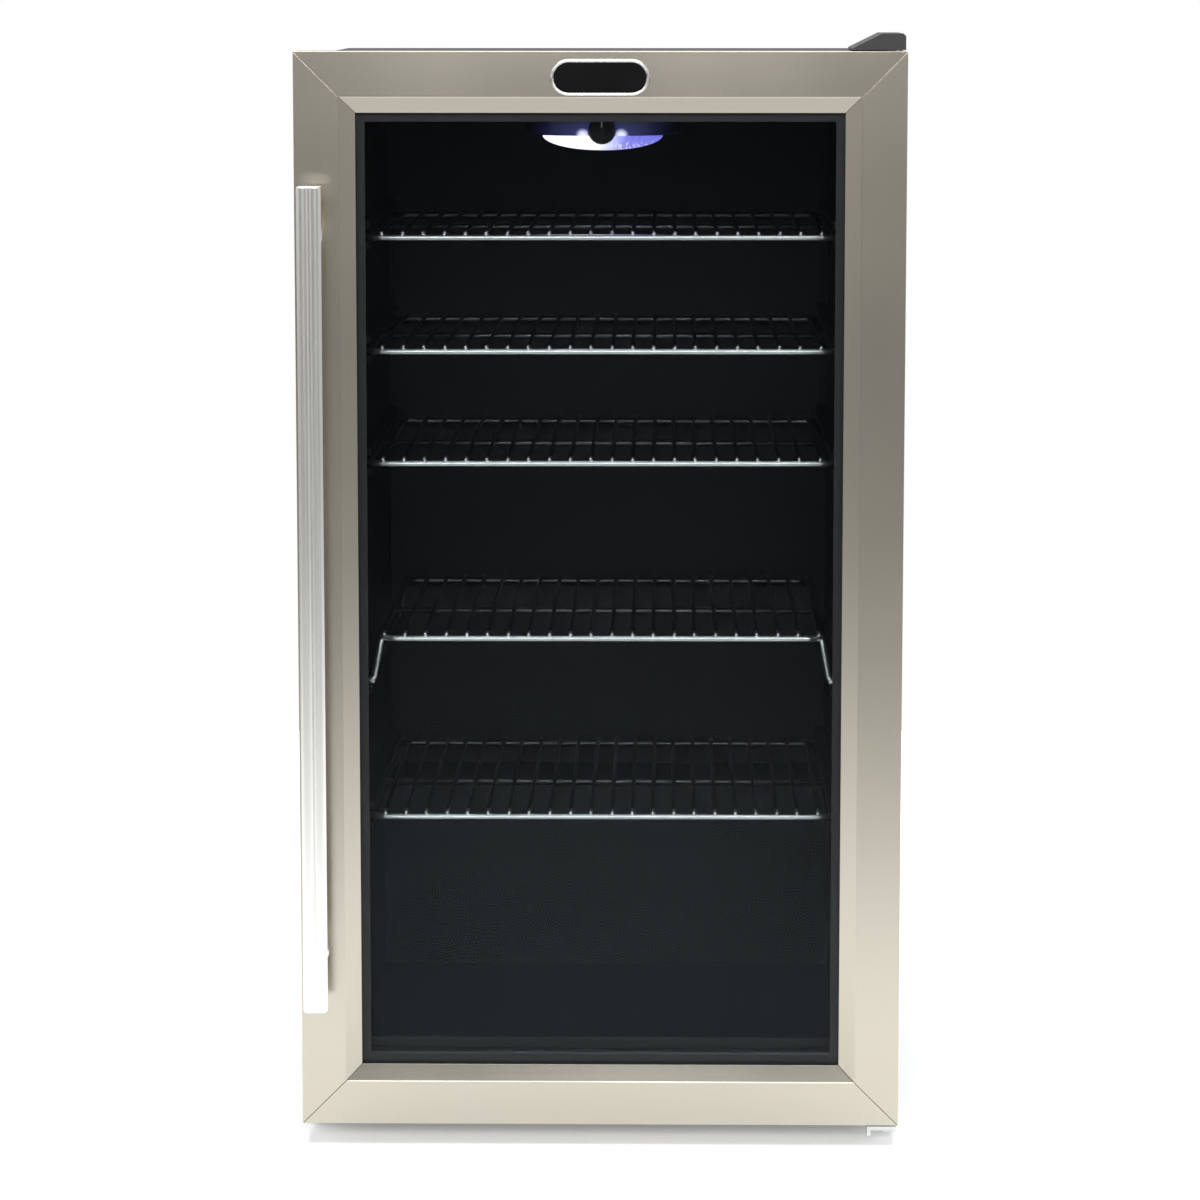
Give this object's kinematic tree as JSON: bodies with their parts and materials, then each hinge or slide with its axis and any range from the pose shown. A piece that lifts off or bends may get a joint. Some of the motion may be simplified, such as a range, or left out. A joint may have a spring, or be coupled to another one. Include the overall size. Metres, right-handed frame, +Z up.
{
  "type": "wine cooler",
  "caption": "Compact glass-door wine and beverage cooler: black insulated cabinet, steel-framed tinted glass door with a full-height bar handle, wire shelves inside.",
  "frame": {"origin": "on the floor, under the middle of the whole appliance from the handle's front to the condenser's back", "axes": "+X towards the hinge side, right as seen from the front; +Y towards the back; +Z up"},
  "size_m": [0.45, 0.5097, 0.835],
  "materials": {
    "brushed_steel": "grain along each member of the door frame",
    "handle_steel": "fine vertical grain",
    "black_steel": "fine-textured black powder coat",
    "plated_steel": "zinc plated",
    "black_plastic": "satin black moulding",
    "liner_plastic": "satin black vacuum-formed sheet",
    "door_plastic": "black extrusion",
    "badge_black": "gloss black, blank, bright rim",
    "tinted_glass": "smoked tempered glass",
    "clear_glass": "clear tempered glass",
    "gasket_rubber": "soft black magnetic gasket",
    "rubber": "matt black",
    "shelf_chrome": "bright plated wire",
    "white_nylon": "natural white",
    "aluminium": "mill finish",
    "copper": null,
    "foam": null,
    "lens_plastic": "fluted lens, lit blue-white",
    "circuit_board": "white-masked board with light emitters"
  },
  "bodies": {
    "cabinet": {"cabinet_shell": "black_steel", "front_frame": "black_steel", "back_panel": "black_steel", "base_pan": "black_steel", "bay_panel": "plated_steel", "insulation_foam": "foam", "inner_liner": "liner_plastic", "evaporator_plate": "aluminium", "top_hinge_bracket": "plated_steel", "top_hinge_cover": "black_plastic", "top_hinge_pin": "plated_steel", "lower_hinge_bracket": "plated_steel", "lower_hinge_pin": "plated_steel", "rear_foot_left": "rubber", "rear_foot_right": "rubber", "compressor": "black_steel", "compressor_grommet_1": "rubber", "compressor_grommet_2": "rubber", "compressor_grommet_3": "rubber", "compressor_grommet_4": "rubber", "relay_box": "black_plastic", "filter_drier": "copper", "suction_pipe": "copper", "condenser_coil": "black_steel", "condenser_bracket_left": "black_steel", "condenser_bracket_right": "black_steel", "drip_tray": "black_plastic", "drain_tube": "white_nylon", "cord_clamp": "black_plastic", "lamp_housing": "black_plastic", "lamp_lens": "lens_plastic", "lamp_board": "circuit_board", "switch_bezel": "black_plastic"},
    "door": {"door_frame": "door_plastic", "trim_top": "brushed_steel", "trim_bottom": "brushed_steel", "trim_left": "brushed_steel", "trim_right": "brushed_steel", "outer_glass": "tinted_glass", "inner_glass": "clear_glass", "glass_spacer": "aluminium", "door_gasket": "gasket_rubber", "handle_bar": "handle_steel", "handle_post_upper": "handle_steel", "handle_post_lower": "handle_steel", "badge_plate": "badge_black", "hinge_bush_upper": "white_nylon", "hinge_bush_lower": "white_nylon"},
    "shelf_1": {"shelf_1": "shelf_chrome"},
    "shelf_2": {"shelf_2": "shelf_chrome"},
    "shelf_3": {"shelf_3": "shelf_chrome"},
    "shelf_4": {"shelf_4": "shelf_chrome", "shelf_4_runner_left": "shelf_chrome", "shelf_4_runner_right": "shelf_chrome"},
    "shelf_5": {"shelf_5": "shelf_chrome"},
    "thermostat_knob": {"thermostat_knob": "black_plastic"},
    "light_switch": {"light_switch": "black_plastic"},
    "levelling_foot_left": {"levelling_foot_left": "rubber"},
    "levelling_foot_right": {"levelling_foot_right": "rubber"}
  },
  "joints": [
    {"name": "door_hinge", "type": "hinge", "parent": "cabinet", "child": "door", "pos_m": [0.215, -0.195, 0], "axis": [0, 0, 1], "range_deg": [0, 120]},
    {"name": "shelf_1_slide", "type": "slide", "parent": "cabinet", "child": "shelf_1", "axis": [0, -1, 0], "range_m": [0, 0.025]},
    {"name": "shelf_2_slide", "type": "slide", "parent": "cabinet", "child": "shelf_2", "axis": [0, -1, 0], "range_m": [0, 0.025]},
    {"name": "shelf_3_slide", "type": "slide", "parent": "cabinet", "child": "shelf_3", "axis": [0, -1, 0], "range_m": [0, 0.025]},
    {"name": "shelf_4_slide", "type": "slide", "parent": "cabinet", "child": "shelf_4", "axis": [0, -1, 0], "range_m": [0, 0.025]},
    {"name": "shelf_5_slide", "type": "slide", "parent": "cabinet", "child": "shelf_5", "axis": [0, -1, 0], "range_m": [0, 0.025]},
    {"name": "thermostat_turn", "type": "hinge", "parent": "cabinet", "child": "thermostat_knob", "pos_m": [0, -0.1253, 0.7615], "axis": [0, -1, 0], "range_deg": [-135, 135]},
    {"name": "light_switch_rock", "type": "hinge", "parent": "cabinet", "child": "light_switch", "pos_m": [0.108, -0.085, 0.7717], "axis": [0, 1, 0], "range_deg": [-7, 7]},
    {"name": "levelling_foot_left_screw", "type": "hinge", "parent": "cabinet", "child": "levelling_foot_left", "pos_m": [-0.18, -0.1295, 0], "axis": [0, 0, 1], "continuous": true},
    {"name": "levelling_foot_right_screw", "type": "hinge", "parent": "cabinet", "child": "levelling_foot_right", "pos_m": [0.18, -0.1295, 0], "axis": [0, 0, 1], "continuous": true}
  ]
}
